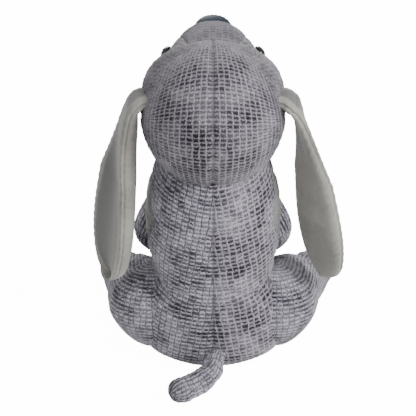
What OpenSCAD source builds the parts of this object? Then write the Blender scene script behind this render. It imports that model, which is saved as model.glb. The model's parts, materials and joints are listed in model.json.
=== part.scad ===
/* [Body] */
// Height of the neck opening above the floor
body_height = 164; // [136:1:197]
// Width across the chest
chest_width = 102; // [94:1:123]
// Width of the seat between the hind legs
seat_width = 92; // [76:1:104]
// Depth of the body from belly to back
body_depth = 100; // [83:1:120]
// Width of the neck opening
neck_width = 82; // [68:1:96]
// Width of the flat base
base_width = 82; // [68:1:88]
// How far the neck leans forward of the seat
neck_lean = 12; // [6:0.5:16]
// Height of the bag of pellets in the seat
pellet_height = 30; // [24:1:36]

/* [Head] */
// Diameter of the head ball
head_width = 108; // [94:1:130]
// Length of the muzzle from the head's centre
muzzle_length = 91; // [78:1:110]
// Width of the muzzle
muzzle_width = 79; // [66:1:92]
// Height of the muzzle
muzzle_depth = 62; // [52:1:72]
// Upward tilt of the muzzle in degrees
muzzle_tilt = 16; // [12:1:24]
// Width of the nose
nose_width = 32; // [27:1:38]
// Diameter of an eye
eye_width = 13; // [10:0.5:16]
// Diameter of the washer that holds an eye
washer_width = 14; // [12:0.5:17]

/* [Ears] */
// Length of an ear
ear_length = 148; // [123:1:152]
// Width of an ear
ear_width = 58; // [48:1:66]
// Thickness of an ear
ear_thickness = 14; // [11:0.5:17]
// Width of an ear where it is sewn on
ear_root_width = 30; // [25:1:36]
// How far the left ear's tip stands out from its root
left_ear_stand = 20; // [16:1:26]
// How far the right ear's tip stands out from its root
right_ear_stand = 28; // [23:1:34]

/* [Front legs] */
// Width of a front leg at the elbow
front_leg_width = 37; // [30:1:40]
// Width of a front paw
paw_width = 35; // [29:1:38]
// Height of the shoulder above the floor
shoulder_height = 118; // [104:1:128]
// How far the paw lies in front of the shoulder
paw_reach = 36; // [30:1:44]
// How far the elbow stands out from the shoulder
elbow_spread = 14; // [11:0.5:17]

/* [Hind legs] */
// Width of the thigh
thigh_width = 72; // [60:1:80]
// Width of a hind foot
foot_width = 38; // [32:1:44]
// How far the foot lies in front of the hip
foot_reach = 64; // [56:1:77]
// How far the left foot stands out from the hip
left_foot_spread = 26; // [22:1:32]
// How far the right foot stands out from the hip
right_foot_spread = 32; // [26:1:38]

/* [Tail] */
// Thickness of the tail
tail_width = 21; // [17:0.5:25]
// How far the tail reaches behind its root
tail_reach = 25; // [20:1:32]
// How far the tail's end lies to the dog's left of its root
tail_sweep = 27; // [20:1:32]

/* [Cloth] */
// Thickness of the plush cloth
cloth = 1.5; // [1.2:0.1:1.8]
// Thickness of the suede cloth of the ears
ear_cloth = 1; // [0.8:0.1:1.2]
// Diameter of the sewing thread
thread_width = 1.2; // [1:0.1:1.6]

/* [Hidden] */

plush_grey = [0.50, 0.48, 0.54];
suede_grey = [0.62, 0.61, 0.58];
navy = [0.12, 0.18, 0.24];
thread_grey = [0.35, 0.34, 0.38];
fill_white = [0.93, 0.92, 0.88];

// Clearances
body_gap = 0.8;      // between solids that move against each other
fill_gap = 0.7;      // between a cloth panel and the stuffing behind it
seam_gap = 0.3;      // between two panels along their seam
floor_gap = 0.4;     // under the legs and the tail

// Splines through short lists of [place, value], where a value may be a list
function span_of(knots, x, i = 0) =
    i >= len(knots) - 2 || x < knots[i + 1][0] ? i : span_of(knots, x, i + 1);
function slope_at(knots, i) =
    let (a = max(i - 1, 0), b = min(i + 1, len(knots) - 1))
    (knots[b][1] - knots[a][1]) / (knots[b][0] - knots[a][0]);
function spline(knots, x) =
    let (
        i = span_of(knots, x),
        h = knots[i + 1][0] - knots[i][0],
        u = (x - knots[i][0]) / h
    )
    knots[i][1] * (2 * u ^ 3 - 3 * u ^ 2 + 1) + knots[i + 1][1] * (3 * u ^ 2 - 2 * u ^ 3)
    + h * (slope_at(knots, i) * (u ^ 3 - 2 * u ^ 2 + u) + slope_at(knots, i + 1) * (u ^ 3 - u ^ 2));
function between(a, b, t) = a + (b - a) * t;
function unit(v) = v / norm(v);
function flat(lists) = [for (part = lists) each part];
function mean(points) = [for (k = [0:2]) [for (p = points) 1] * [for (p = points) p[k]] / len(points)];

// A closed solid between an outer and an inner grid of points
module sheet_solid(outer, inner) {
    rows = len(outer) - 1;
    columns = len(outer[0]) - 1;
    wide = columns + 1;
    far = (rows + 1) * wide;
    turn = cross(outer[0][1] - outer[0][0], outer[1][0] - outer[0][0]) * (outer[0][0] - inner[0][0]) > 0;
    faces = concat(
        [for (i = [0:rows - 1], j = [0:columns - 1]) let (a = i * wide + j)
            each [[a, a + 1, a + wide + 1], [a, a + wide + 1, a + wide]]],
        [for (i = [0:rows - 1], j = [0:columns - 1]) let (a = i * wide + j + far)
            each [[a, a + wide + 1, a + 1], [a, a + wide, a + wide + 1]]],
        [for (i = [0:rows - 1]) let (a = i * wide, d = a + wide)
            each [[a, d, d + far], [a, d + far, a + far]]],
        [for (i = [0:rows - 1]) let (b = i * wide + columns, c = b + wide)
            each [[b, b + far, c + far], [b, c + far, c]]],
        [for (j = [0:columns - 1]) each [[j, j + far, j + 1 + far], [j, j + 1 + far, j + 1]]],
        [for (j = [0:columns - 1]) let (d = rows * wide + j)
            each [[d, d + 1, d + 1 + far], [d, d + 1 + far, d + far]]]
    );
    polyhedron(
        points = concat(flat(outer), flat(inner)),
        faces = turn ? [for (f = faces) [f[0], f[2], f[1]]] : faces
    );
}

// A closed solid through rings of points, with a point in the middle of each end
module bag(rings) {
    rows = len(rings) - 1;
    n = len(rings[0]);
    low = (rows + 1) * n;
    high = low + 1;
    mid = floor(rows / 2);
    out = rings[mid][0] - mean(rings[mid]);
    turn = cross(rings[mid][1] - rings[mid][0], rings[mid + 1][0] - rings[mid][0]) * out > 0;
    faces = concat(
        [for (i = [0:rows - 1], j = [0:n - 1])
            let (a = i * n + j, b = i * n + (j + 1) % n)
            each [[a, b, b + n], [a, b + n, a + n]]],
        [for (j = [0:n - 1]) [low, (j + 1) % n, j]],
        [for (j = [0:n - 1]) [high, rows * n + j, rows * n + (j + 1) % n]]
    );
    polyhedron(
        points = concat(flat(rings), [mean(rings[0]), mean(rings[rows])]),
        faces = turn ? [for (f = faces) [f[0], f[2], f[1]]] : faces
    );
}

// A thread along a line of points
module thread(line) {
    last = len(line) - 1;
    rings = [for (i = [0:last])
        let (
            along = unit(line[min(i + 1, last)] - line[max(i - 1, 0)]),
            side = unit(cross(along, abs(along.x) > 0.8 ? [0, 0, 1] : [1, 0, 0])),
            up = cross(along, side)
        )
        [for (a = [0:60:300]) line[i] + (side * cos(a) + up * sin(a)) * thread_width / 2]];
    bag(rings);
}

// Body: rings of rounded cross-section from the flat base up to the neck
head_r = head_width / 2;
neck_r = neck_width / 2;
thigh_top = thigh_width + 5;
chest_rise = body_height - thigh_top;
head_z = body_height + sqrt((head_r + body_gap) ^ 2 - neck_r ^ 2);
head_centre = [0, -neck_lean, head_z];
body_knots = [
    [0, [base_width / 2, base_width / 2, 0, 2]],
    [8, [seat_width * 0.485, body_depth * 0.47, 0, 2.3]],
    [22, [seat_width / 2, body_depth / 2, 0, 2.6]],
    [thigh_top, [seat_width / 2, body_depth * 0.48, -neck_lean / 4, 2.6]],
    [thigh_top + 0.26 * chest_rise, [chest_width * 0.495, body_depth * 0.47, -neck_lean / 2.4, 2.4]],
    [thigh_top + 0.62 * chest_rise, [chest_width * 0.49, body_depth * 0.46, -neck_lean / 1.4, 2.2]],
    [thigh_top + 0.87 * chest_rise, [between(chest_width, neck_width, 0.6) / 2,
        between(body_depth * 0.92, neck_width, 0.6) / 2, -neck_lean * 0.92, 2]],
    [body_height, [neck_r, neck_r, -neck_lean, 2]]
];
body_rows = 14;
body_step = 9;
function body_rim(inset) = head_z - sqrt((head_r + body_gap) ^ 2 - (neck_r - inset) ^ 2);
function body_point(angle, z, inset) =
    let (
        k = spline(body_knots, min(z, body_height)),
        half = (z < thigh_top ? min(k[0], seat_width / 2) : k[0]) - inset,
        e = k[3],
        r = (abs(cos(angle) / half) ^ e + abs(sin(angle) / (k[1] - inset)) ^ e) ^ (-1 / e)
    )
    [r * cos(angle), k[2] + r * sin(angle), z];
function body_level(t, inset) = between(inset, body_rim(inset), t ^ 1.25);

// The belly panel reaches furthest round the sides at the chest, in degrees behind the side
belly_edge_ends = -14;
belly_edge_chest = 38;
function side_seam(t) = belly_edge_ends + belly_edge_chest * sin(180 * min(1, t) ^ 2.4) ^ 2;
module body_panel(from_side, to_side) {
    count = from_side == 3 ? 24 : 13;
    function row(t, inset) = [for (j = [0:count])
        let (
            a = from_side == 1 ? side_seam(t) : from_side == 2 ? 90 : 180 - side_seam(t),
            b = to_side == 2 ? 90 : to_side == 3 ? 180 - side_seam(t) : 360 + side_seam(t),
            trim = seam_gap * 0.6
        )
        body_point(between(a + trim, b - trim, j / count), body_level(t, inset), inset)];
    sheet_solid(
        [for (i = [0:body_rows]) row(i / body_rows, 0)],
        [for (i = [0:body_rows]) row(i / body_rows, cloth)]
    );
}
module back_panel_left() { color(plush_grey) body_panel(1, 2); }
module back_panel_right() { color(plush_grey) body_panel(2, 3); }
module belly_panel() { color(suede_grey) body_panel(3, 4); }
module seat_panel() {
    color(suede_grey) cylinder(r = base_width / 2 - cloth - seam_gap, h = cloth, $fn = 96);
}
body_fill = cloth + fill_gap;
function body_ring(z, inset) = [for (a = [0:body_step:359]) body_point(a, z, inset)];
module body_stuffing() {
    from = pellet_height + fill_gap;
    to = body_rim(body_fill);
    dish = head_r + body_gap + fill_gap;
    color(fill_white) bag(concat(
        [body_ring(from, body_fill + 1.5)],
        [for (i = [0:9]) body_ring(between(from + 1.5, to - 0.8, i / 9), body_fill)],
        [for (q = [0.97, 0.75, 0.5, 0.25]) [for (a = [0:body_step:359])
            let (r = q * (neck_r - body_fill))
            head_centre + [r * cos(a), r * sin(a), -sqrt(dish ^ 2 - r ^ 2)]]]
    ));
}
module pellet_bag() {
    color([0.80, 0.78, 0.70]) bag(concat(
        [body_ring(body_fill, body_fill + 3)],
        [for (i = [0:4]) body_ring(between(body_fill + 2, pellet_height - 2, i / 4), body_fill)],
        [body_ring(pellet_height, body_fill + 2)]
    ));
}
thread_lift = 0.5;
seam_above_tail = 6;
seam_below_neck = 6;
module back_seam_stitching() {
    from = tail_width + 7 + seam_above_tail;
    color(thread_grey) thread([for (i = [0:16])
        let (z = between(from, body_height - seam_below_neck, i / 16))
        body_point(90, z, -thread_lift - thread_width / 2)]);
}
module neck_stitching() {
    color(thread_grey) translate([0, -neck_lean, body_height + 0.6])
        rotate_extrude($fn = 96) translate([neck_r + neck_thread_out, 0])
            circle(d = thread_width * 2, $fn = 24);
}

// Head: a ball and a muzzle joined smoothly, measured from the head's centre.
// The first angle runs round from the back over the crown to the muzzle, the second out to the ears.
function head_way(a, b) = [sin(b), cos(b) * cos(a), cos(b) * sin(a)];
muzzle_round = 2.3;
// The muzzle joins the head softly above and more closely at the throat
join_above = 7;
join_below = 14;
function head_join(way) = between(join_below, join_above, max(0, min(1, way.z * 2 + 0.3)));
function muzzle_r(way) =
    let (
        ahead = way * [0, -cos(muzzle_tilt), sin(muzzle_tilt)],
        up = way * [0, sin(muzzle_tilt), cos(muzzle_tilt)]
    )
    ahead <= 0 ? 0 : (abs(way.x / (muzzle_width / 2)) ^ muzzle_round
        + abs(up / (muzzle_depth / 2)) ^ muzzle_round
        + abs(ahead / muzzle_length) ^ muzzle_round) ^ (-1 / muzzle_round);
// The brow is fuller on each side, above the eyes
brow_way = unit([0.79, -0.35, 0.5]);
brow_fullness = 0.08;
function brow_swell(way) = 1 + brow_fullness * max(0, [abs(way.x), way.y, way.z] * brow_way) ^ 16;
function head_reach(way) =
    let (n = head_join(way))
    ((head_r * brow_swell(way)) ^ n + muzzle_r(way) ^ n) ^ (1 / n);
function head_point(a, b, inset) = head_centre + head_way(a, b) * (head_reach(head_way(a, b)) - inset);
brow = 120;
throat = 232;
nape = 310;
muzzle_half = 20;
ear_pole = 86;
module head_patch(a0, a1, b0, b1, na, nb) {
    trim = seam_gap / 2;
    function grid(inset) = [for (i = [0:na]) [for (j = [0:nb])
        head_point(between(a0 + trim, a1 - trim, i / na), between(b0 + trim, b1 - trim, j / nb), inset)]];
    sheet_solid(grid(0), grid(cloth));
}
module head_panel_left() { color(plush_grey) head_patch(nape - 360, brow, 0, ear_pole, 14, 8); }
module head_panel_right() { color(plush_grey) head_patch(nape - 360, brow, -ear_pole, 0, 14, 8); }
module muzzle_top_panel() { color(plush_grey) head_patch(brow, 182, -muzzle_half, muzzle_half, 8, 6); }
module chin_panel() { color(suede_grey) head_patch(182, throat, -muzzle_half, muzzle_half, 7, 6); }
module head_base_panel() { color(plush_grey) head_patch(throat, nape, -ear_pole, ear_pole, 6, 16); }

eye_a = 158;
eye_b = 31;
shank_width = 4;
washer_depth = 5.1;
washer_thick = 0.9;
washer_gap = 2;
function head_normal(a, b) =
    let (n = unit(cross(head_point(a + 1, b, 0) - head_point(a - 1, b, 0),
        head_point(a, b + 1, 0) - head_point(a, b - 1, 0))))
    n * head_way(a, b) > 0 ? n : -n;
// How far the cloth round an eye stands above the middle of its seat
function eye_seat(side) =
    let (
        b = side * eye_b,
        n = head_normal(eye_a, b),
        wide = 1.3 * eye_width / 2 / head_r * 180 / PI
    )
    max([for (p = [0:30:359])
        let (rim = head_point(eye_a + wide * cos(p) / cos(eye_b), b + wide * sin(p), 0))
        (rim - head_point(eye_a, b, 0)) * n]);
// Draws its children with +Z square to the cloth at an eye
module at_eye(side) {
    n = head_normal(eye_a, side * eye_b);
    translate(head_point(eye_a, side * eye_b, 0))
        rotate([0, acos(n.z), atan2(n.y, n.x)])
            children();
}
module cheek_panel(side) {
    color(plush_grey) difference() {
        if (side > 0)
            head_patch(brow, throat, muzzle_half, ear_pole, 11, 7);
        else
            head_patch(brow, throat, -ear_pole, -muzzle_half, 11, 7);
        at_eye(side) translate([0, 0, -6]) cylinder(d = shank_width + 0.6, h = 12, $fn = 32);
    }
}
head_fill = cloth + washer_depth;
module head_stuffing() {
    color(fill_white) difference() {
        bag([for (b = [-84:12:84]) [for (a = [0:12:359]) head_point(a, b, head_fill)]]);
        for (side = [-1, 1])
            at_eye(side) translate([0, 0, -14]) cylinder(d = shank_width + 1, h = 20, $fn = 32);
    }
}
module eye(side) {
    color([0.05, 0.05, 0.06]) at_eye(side) union() {
        translate([0, 0, max(0, eye_seat(side)) + 0.3]) rotate_extrude($fn = 64) intersection() {
            scale([1, 0.8]) circle(d = eye_width, $fn = 64);
            square([eye_width, eye_width]);
        }
        translate([0, 0, -8]) cylinder(d = shank_width, h = 9 + max(0, eye_seat(side)), $fn = 32);
    }
}
module eye_washer(side) {
    color([0.85, 0.85, 0.85]) at_eye(side) translate([0, 0, -cloth - washer_gap - washer_thick])
        rotate_extrude($fn = 64) translate([shank_width / 2 + 0.1, 0])
            square([(washer_width - shank_width) / 2 - 0.1, washer_thick]);
}
// The seam thread keeps clear of the neck's thread when the head nods
neck_thread_out = 2;
seam_start = 10 - atan2(head_z - body_height, neck_r + neck_thread_out);
module head_seam_stitching() {
    color(thread_grey) thread([for (i = [0:18])
        head_point(between(seam_start, brow - 4, i / 18), 0, -thread_lift - thread_width / 2)]);
}
// The mouth is two curves of thread that meet below the nose
module mouth_stitching() {
    color(navy) thread([for (i = [-8:8])
        head_point(188 + 8 * sin(abs(i) * 22.5), i * 1.8, -thread_lift - thread_width / 2)]);
}

// Nose: a padded dome sewn on the upper end of the muzzle
nose_a = 163;
nose_rise = 9;
nose_half_b = atan2(nose_width / 2, muzzle_length);
nose_half_a = nose_half_b * 0.8;
function nose_ring(q, lift) = [for (p = [0:20:359])
    head_point(nose_a + nose_half_a * q * sin(p), nose_half_b * q * cos(p), -lift)];
function nose_lift(q) = 0.4 + nose_rise * sqrt(1 - q ^ 2);
module nose_cover() {
    color(navy) bag(concat(
        [for (q = [0.15, 0.4, 0.65, 0.85, 1]) nose_ring(q, nose_lift(q) + 0.2)],
        [for (q = [0.85, 0.65, 0.4, 0.15]) nose_ring(q * 0.94, nose_lift(q) - cloth)]
    ));
}
module nose_wadding() {
    color(fill_white) bag(concat(
        [for (q = [0.15, 0.35, 0.55, 0.75]) nose_ring(q * 0.9, nose_lift(q) - cloth - fill_gap)],
        [for (q = [0.75, 0.4, 0.15]) nose_ring(q * 0.9, 0.6)]
    ));
}

// Ears: two suede panels over a thin wadding, sewn on along the side of the head
ear_root_t = 8;
ear_drift = 16;
ear_root_up = 14;
ear_root_back = 7;
ear_half_w = [
    [0, ear_root_width / 2],
    [0.2, ear_root_width / 2 + 2],
    [0.45, ear_width * 0.42],
    [0.7, ear_width / 2],
    [0.86, ear_width * 0.43],
    [0.96, ear_width * 0.25],
    [1, ear_width * 0.12]
];
ear_half_t = [
    [0, ear_root_t / 2],
    [0.2, ear_thickness * 0.42],
    [0.6, ear_thickness / 2],
    [0.88, ear_thickness * 0.46],
    [1, ear_thickness * 0.3]
];
ear_edge = ear_cloth + 0.3;
// Each ear turns and cups over the first share of its length
ear_root_share = 0.4;
left_ear_turn = 24;
right_ear_turn = -30;
left_ear_cup = 9;
right_ear_cup = 3;
function ear_pivot(side) =
    let (way = unit([sqrt(head_r ^ 2 - ear_root_up ^ 2), ear_root_back - ear_root_width / 2, ear_root_up]))
    head_centre + [side * way.x * (head_reach(way) + ear_root_t / 2 + body_gap), ear_root_back, ear_root_up];
// Place on an ear: along it from 0 at the root to 1 at the tip, across it from -1 to 1,
// and out of its middle
function ear_point(side, s, t, out) =
    let (
        stand = side > 0 ? left_ear_stand * (s + 0.001) ^ 0.6 : right_ear_stand * (s + 0.001) ^ 0.55,
        ease = min(1, s / ear_root_share),
        turn = (side > 0 ? left_ear_turn : right_ear_turn) * ease,
        cup = (side > 0 ? left_ear_cup : right_ear_cup) * ease,
        half = spline(ear_half_w, max(s, 0)),
        way = [side * sin(turn), -cos(turn), 0],
        off = [side * cos(turn), sin(turn), 0]
    )
    ear_pivot(side) + [side * stand, ear_drift * s, -ear_length * s]
    + way * half * t + off * (out + cup * (t ^ 2 - 0.35));
function ear_depth(s, t) =
    ear_edge + (spline(ear_half_t, max(s, 0)) - ear_edge) * sqrt(max(0, 1 - t ^ 2));
ear_rows = 12;
ear_columns = 8;
ear_fill = ear_cloth + 0.5;
function ear_across(j) = sin(between(-88, 88, j / ear_columns));
module ear_panel(side, face) {
    function grid(inset) = [for (i = [0:ear_rows]) [for (j = [0:ear_columns])
        let (s = i / ear_rows, t = ear_across(j))
        ear_point(side, s, t, face * (ear_depth(s, t) - inset))]];
    color(suede_grey) sheet_solid(grid(0), grid(ear_cloth));
}
module ear_wadding(side) {
    function loop(s) = concat(
        [for (j = [1:ear_columns - 1])
            let (t = ear_across(j)) ear_point(side, s, t, ear_depth(s, t) - ear_fill)],
        [for (j = [ear_columns - 1:-1:1])
            let (t = ear_across(j)) ear_point(side, s, t, ear_fill - ear_depth(s, t))]
    );
    color(fill_white) bag(concat(
        [between(loop(0), loop(1 / ear_rows), 0.25)],
        [for (i = [1:ear_rows - 1]) loop(i / ear_rows)]
    ));
}

// Limbs: rings across a spline of [x, y, z, radius], with a round cap at each end
function limb_along(knots, s) =
    let (
        d = 0.02,
        a = spline(knots, max(s - d, 0)),
        b = spline(knots, min(s + d, 1))
    )
    unit([b[0] - a[0], b[1] - a[1], b[2] - a[2]]);
function limb_ring(knots, s, swell, push, inset, angles) =
    let (
        k = spline(knots, s),
        along = limb_along(knots, s),
        across = unit(cross(along, cross([1, 0, 0], along))),
        up = cross(across, along),
        r = (k[3] - inset) * swell,
        c = [k[0], k[1], k[2]] + along * (k[3] - inset) * push
    )
    [for (p = angles) c + (across * cos(p) + up * sin(p)) * r];
cap_steps = 3;
limb_rows = 8;
// The rings of a limb in order, the first and last few of them on the caps
function limb_rings(knots, inset, angles) = concat(
    [for (i = [cap_steps:-1:1]) let (a = 84 * i / cap_steps)
        limb_ring(knots, 0, cos(a), -sin(a), inset, angles)],
    [for (i = [0:limb_rows]) limb_ring(knots, i / limb_rows, 1, 0, inset, angles)],
    [for (i = [1:cap_steps]) let (a = 84 * i / cap_steps)
        limb_ring(knots, 1, cos(a), sin(a), inset, angles)]
);
function kept(rings, from, to) = [for (i = [from:to]) rings[i]];
last_ring = 2 * cap_steps + limb_rows;
pad_ring = last_ring - cap_steps + 1;
// A leg's cloth reaches round its end to the seam of the pad
pad_edge = 84 / cap_steps;
function leg_rings(knots, inset, angles) =
    let (turn = pad_edge - seam_gap / knots[len(knots) - 1][1][3] * 180 / PI)
    concat(
        kept(limb_rings(knots, inset, angles), 0, pad_ring - 1),
        [limb_ring(knots, 1, cos(turn), sin(turn), inset, angles)]
    );
function arc_angles(from, to, count) = [for (j = [0:count]) between(from, to, j / count)];
ring_angles = [for (p = [0:22.5:359]) p];

// Keeps a hind leg's points beside the seat and above the floor, with the thigh narrower near the floor
thigh_tuck = 9;
function tuck(p, side) =
    let (
        low = max(0, 1 - p.z / (thigh_r + floor_gap)),
        near = max(0, min(1, (p.y - hip_back + foot_reach * 0.6) / (foot_reach * 0.6))),
        out = max(0, (side * p.x - hip_plane) / thigh_r)
    )
    thigh_tuck * low * near ^ 2 * min(1, out);
function hip_clip(points, side, inset) = [for (ring = points) [for (p = ring)
    [side * max(side * p.x - tuck(p, side), hip_plane + inset), p.y, max(p.z, floor_gap + inset)]]];
hip_plane = seat_width / 2 + body_gap;
thigh_r = thigh_width / 2;
foot_r = foot_width / 2;
hip_back = 6;
function hip(side) = [side * (hip_plane + 3), hip_back, thigh_r + floor_gap];
function hind_knots(side) =
    let (
        h = hip(side),
        low = foot_r + floor_gap,
        foot_spread = side > 0 ? left_foot_spread : right_foot_spread
    )
    [
        [0, [h.x, h.y, h.z, thigh_r]],
        [0.35, [h.x + side * foot_spread * 0.3, h.y - foot_reach * 0.33, between(h.z, low, 0.25),
            between(thigh_r, foot_r, 0.28)]],
        [0.7, [h.x + side * foot_spread * 0.72, h.y - foot_reach * 0.69, between(h.z, low, 0.7),
            between(thigh_r, foot_r, 0.78)]],
        [1, [h.x + side * foot_spread, h.y - foot_reach, low, foot_r]]
    ];
module hind_panel(side, from, to) {
    angles = arc_angles(from + 1, to - 1, 9);
    color(plush_grey) sheet_solid(
        hip_clip(leg_rings(hind_knots(side), 0, angles), side, 0),
        hip_clip(leg_rings(hind_knots(side), cloth, angles), side, cloth)
    );
}
module hind_leg_outer(side) { hind_panel(side, side > 0 ? -90 : 90, side > 0 ? 90 : 270); }
module hind_leg_inner(side) { hind_panel(side, side > 0 ? 90 : -90, side > 0 ? 270 : 90); }
// A pad closes a leg's end: its outer face, and the same face one cloth further in
module end_pad(knots) {
    color(suede_grey) bag(concat(
        [for (i = [cap_steps:-1:1]) limb_rings(knots, 0, ring_angles)[pad_ring + i - 1]],
        [for (i = [1:cap_steps]) limb_rings(knots, cloth, ring_angles)[pad_ring + i - 1]]
    ));
}
module limb_fill(rings) { color(fill_white) bag(rings); }
hind_fill = cloth + fill_gap + 0.5;
module hind_leg_stuffing(side) {
    limb_fill(hip_clip(limb_rings(hind_knots(side), hind_fill, ring_angles), side, hind_fill));
}

// Front legs hang from the chest and stand on their paws
shoulder_angle = -57;
shoulder_r = 12;
front_r = front_leg_width / 2;
paw_r = paw_width / 2;
function shoulder(side) =
    let (p = body_point(shoulder_angle, shoulder_height, -shoulder_r - body_gap - 0.6))
    [side * p.x, p.y, p.z];
function front_knots(side) =
    let (s = shoulder(side), low = paw_r + floor_gap)
    [
        [0, [s.x, s.y, s.z, shoulder_r]],
        [0.28, [s.x + side * elbow_spread * 0.15, s.y - paw_reach * 0.18, between(s.z, low, 0.26),
            between(shoulder_r, front_r, 0.5)]],
        [0.58, [s.x + side * elbow_spread, s.y - paw_reach * 0.3, between(s.z, low, 0.62), front_r]],
        [0.8, [s.x + side * elbow_spread * 0.6, s.y - paw_reach * 0.68, between(s.z, low, 0.8),
            between(front_r, paw_r, 0.5)]],
        [1, [s.x, s.y - paw_reach, low, paw_r]]
    ];
module front_panel(side, from, to) {
    angles = arc_angles(from + 1.5, to - 1.5, 8);
    sheet_solid(leg_rings(front_knots(side), 0, angles), leg_rings(front_knots(side), cloth, angles));
}
module front_leg_outer(side) {
    color(plush_grey) front_panel(side, side > 0 ? -90 : 90, side > 0 ? 90 : 270);
}
module front_leg_inner(side) {
    color(suede_grey) front_panel(side, side > 0 ? 90 : -90, side > 0 ? 270 : 90);
}
module front_leg_stuffing(side) {
    limb_fill(limb_rings(front_knots(side), cloth + fill_gap, ring_angles));
}

// Tail: lies back on the floor and bends to the dog's left
tail_r = tail_width / 2;
tail_root_r = tail_r * 0.62;
tail_root_z = tail_r + 7;
tail_root = body_point(93, tail_root_z, -tail_root_r - body_gap - 0.4);
tail_knots = [
    [0, [tail_root.x, tail_root.y, tail_root.z, tail_root_r]],
    [0.3, [tail_root.x + tail_sweep * 0.18, tail_root.y + tail_reach * 0.32, tail_r + 4.5, tail_r * 0.85]],
    [0.65, [tail_root.x + tail_sweep * 0.55, tail_root.y + tail_reach * 0.7, tail_r + 2, tail_r]],
    [1, [tail_root.x + tail_sweep, tail_root.y + tail_reach, tail_r + floor_gap, tail_r * 0.96]]
];
module tail_panel(from, to) {
    angles = arc_angles(from + 2, to - 2, 7);
    color(plush_grey) sheet_solid(
        limb_rings(tail_knots, 0, angles),
        limb_rings(tail_knots, cloth, angles)
    );
}
module tail_upper_panel() { tail_panel(0, 180); }
module tail_lower_panel() { tail_panel(180, 360); }
module tail_stuffing() { limb_fill(limb_rings(tail_knots, cloth + fill_gap, ring_angles)); }

back_panel_left();
back_panel_right();
belly_panel();
seat_panel();
body_stuffing();
pellet_bag();
back_seam_stitching();
neck_stitching();
head_panel_left();
head_panel_right();
cheek_panel(1);  // cheek_panel_left
cheek_panel(-1);  // cheek_panel_right
muzzle_top_panel();
chin_panel();
head_base_panel();
head_stuffing();
head_seam_stitching();
nose_cover();
nose_wadding();
eye(1);  // eye_left
eye(-1);  // eye_right
eye_washer(1);  // eye_washer_left
eye_washer(-1);  // eye_washer_right
mouth_stitching();
ear_panel(1, 1);  // ear_outer_left
ear_panel(1, -1);  // ear_inner_left
ear_wadding(1);  // ear_wadding_left
ear_panel(-1, 1);  // ear_outer_right
ear_panel(-1, -1);  // ear_inner_right
ear_wadding(-1);  // ear_wadding_right
front_leg_outer(1);  // front_leg_outer_left
front_leg_inner(1);  // front_leg_inner_left
end_pad(front_knots(1));  // front_paw_pad_left
front_leg_stuffing(1);  // front_leg_stuffing_left
front_leg_outer(-1);  // front_leg_outer_right
front_leg_inner(-1);  // front_leg_inner_right
end_pad(front_knots(-1));  // front_paw_pad_right
front_leg_stuffing(-1);  // front_leg_stuffing_right
hind_leg_outer(1);  // hind_leg_outer_left
hind_leg_inner(1);  // hind_leg_inner_left
end_pad(hind_knots(1));  // foot_pad_left
hind_leg_stuffing(1);  // hind_leg_stuffing_left
hind_leg_outer(-1);  // hind_leg_outer_right
hind_leg_inner(-1);  // hind_leg_inner_right
end_pad(hind_knots(-1));  // foot_pad_right
hind_leg_stuffing(-1);  // hind_leg_stuffing_right
tail_upper_panel();
tail_lower_panel();
tail_stuffing();
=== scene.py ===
import json
import math

import bpy
import numpy as np
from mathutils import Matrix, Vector


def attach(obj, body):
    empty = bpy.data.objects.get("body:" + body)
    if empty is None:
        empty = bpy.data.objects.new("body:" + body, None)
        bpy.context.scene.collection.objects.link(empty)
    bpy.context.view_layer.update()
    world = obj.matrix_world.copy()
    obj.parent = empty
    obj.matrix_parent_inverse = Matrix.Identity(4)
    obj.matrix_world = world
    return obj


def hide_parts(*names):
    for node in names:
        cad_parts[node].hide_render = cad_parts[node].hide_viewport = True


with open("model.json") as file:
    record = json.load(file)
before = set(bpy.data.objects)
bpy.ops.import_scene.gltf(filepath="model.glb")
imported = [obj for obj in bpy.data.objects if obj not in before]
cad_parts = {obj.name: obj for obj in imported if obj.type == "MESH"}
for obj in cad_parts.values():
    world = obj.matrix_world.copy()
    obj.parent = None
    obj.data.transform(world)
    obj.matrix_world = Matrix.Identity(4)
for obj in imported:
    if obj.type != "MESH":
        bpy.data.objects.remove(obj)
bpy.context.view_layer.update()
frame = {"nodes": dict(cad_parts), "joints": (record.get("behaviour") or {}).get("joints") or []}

jointAt = {j["name"]: np.array(j["pos_m"]) * 1000 for j in frame["joints"]}

# All shapes are worked out in millimetres and made in metres.
mm = 0.001

# Cloth settings for the sewn parts: how far the cloth is let out, how hard it is blown up and how far it may
# move
clothSettings = dict(letOut=0.035, earLetOut=0.006, pressure=4, frames=20, scale=10, bendStiffness=0.15,
    moveCap=2.2)
weave = dict(across=5.0, along=3.4, relief=0.4, fineStep=1.0)
seam = dict(depth=0.8, width=2.0, turnIn=3.0, pucker=0.28, puckerPitch=7.0)


# Numbers and splines
def spline(knots, x):
    place = np.array([k[0] for k in knots], float)
    value = np.array([np.atleast_1d(k[1]) for k in knots], float)
    last = len(knots) - 1
    after = np.minimum(np.arange(last + 1) + 1, last)
    before = np.maximum(np.arange(last + 1) - 1, 0)
    slope = (value[after] - value[before]) / (place[after] - place[before])[:, None]
    x = np.asarray(x, float)
    i = np.clip(np.searchsorted(place, x, side="right") - 1, 0, last - 1)
    wide = (place[i + 1] - place[i])[..., None]
    u = (x - place[i])[..., None] / wide
    return (
        value[i] * (2 * u**3 - 3 * u**2 + 1)
        + value[i + 1] * (3 * u**2 - 2 * u**3)
        + wide * (slope[i] * (u**3 - 2 * u**2 + u) + slope[i + 1] * (u**3 - u**2))
    )


def between(a, b, t):
    return a + (b - a) * t


def unit(v):
    return v / np.maximum(np.linalg.norm(v, axis=-1, keepdims=True), 1e-9)


def smooth(low, high, x):
    t = np.clip((x - low) / (high - low), 0, 1)
    return t * t * (3 - 2 * t)


def stack(*parts):
    return np.stack(np.broadcast_arrays(*parts), -1)


def cosd(a):
    return np.cos(np.radians(a))


def sind(a):
    return np.sin(np.radians(a))


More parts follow.
